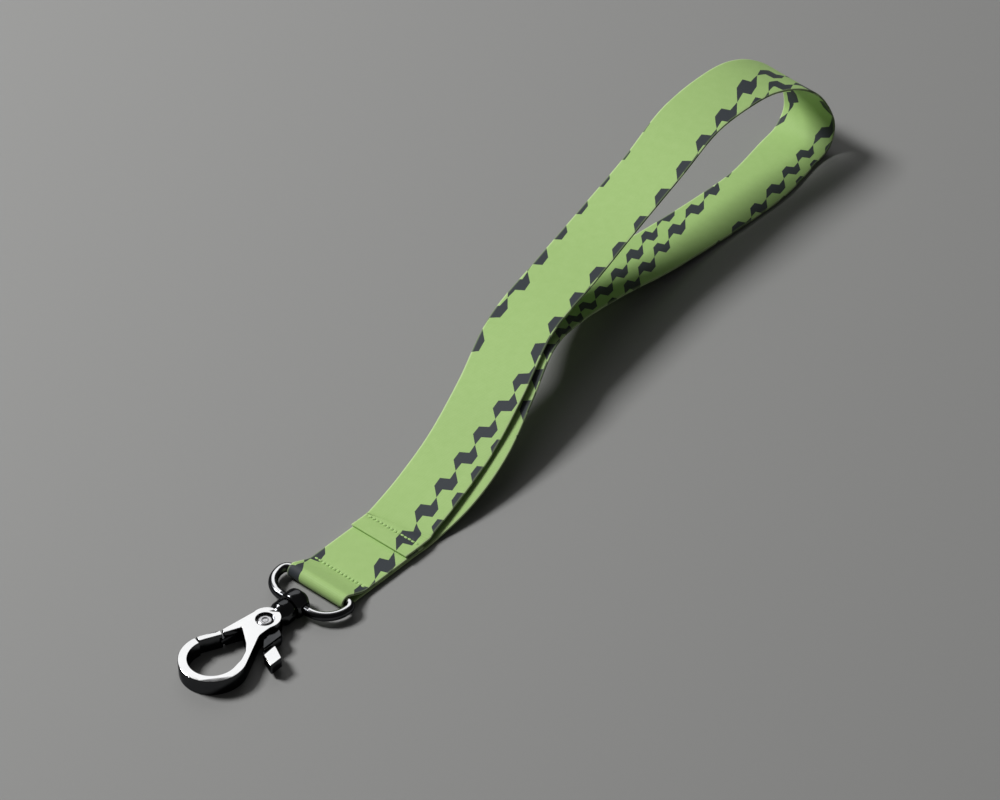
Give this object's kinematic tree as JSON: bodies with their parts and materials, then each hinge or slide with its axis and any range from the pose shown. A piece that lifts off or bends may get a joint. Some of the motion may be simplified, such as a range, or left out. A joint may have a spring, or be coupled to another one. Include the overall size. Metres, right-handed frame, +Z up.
{
  "type": "wrist lanyard with swivel hook",
  "caption": "Wrist lanyard: printed ribbon hand loop sewn to a D-ring, with a swivelling lobster-claw hook and sprung gate for a badge holder.",
  "frame": {"origin": "centre of the hook's eye, on the plane that the lanyard rests on", "axes": "+Y along the swivel's axis from the hook to the strap, +Z up from the resting plane"},
  "size_m": [0.0606, 0.3001, 0.0317],
  "materials": {
    "ribbon": "satin-woven polyester ribbon, light green with a dark zigzag border",
    "thread": "polyester sewing thread, light green",
    "ring_metal": "polished nickel-chrome plating on a zinc casting",
    "hook_metal": "polished nickel-chrome plating on a zinc casting",
    "rivet_metal": "plated steel rivet, slightly brushed",
    "spring_steel": "drawn spring wire"
  },
  "bodies": {
    "strap": {"strap_loop": "ribbon", "ring_fold": "ribbon", "front_stitch_row": "thread", "back_stitch_row": "thread"},
    "d_ring": {"d_ring": "ring_metal"},
    "hook": {"hook_body": "hook_metal", "swivel_post": "rivet_metal", "gate_pin": "rivet_metal", "gate_spring": "spring_steel"},
    "gate": {"gate_lever": "hook_metal"}
  },
  "joints": [
    {"name": "ring_pivot", "type": "hinge", "parent": "strap", "child": "d_ring", "pos_m": [0, 0.0393, 0.0023], "axis": [1, 0, 0], "range_deg": [-130, 120]},
    {"name": "hook_swivel", "type": "hinge", "parent": "d_ring", "child": "hook", "pos_m": [0, 0.03, 0.0023], "axis": [0, 1, 0], "continuous": true},
    {"name": "gate_hinge", "type": "hinge", "parent": "hook", "child": "gate", "pos_m": [0, 0.019, 0.0023], "axis": [0, 0, 1], "range_deg": [0, 24], "stiffness_Nm_per_rad": 0.02, "springref_deg": -14.32, "deforming": ["gate_spring"]}
  ]
}
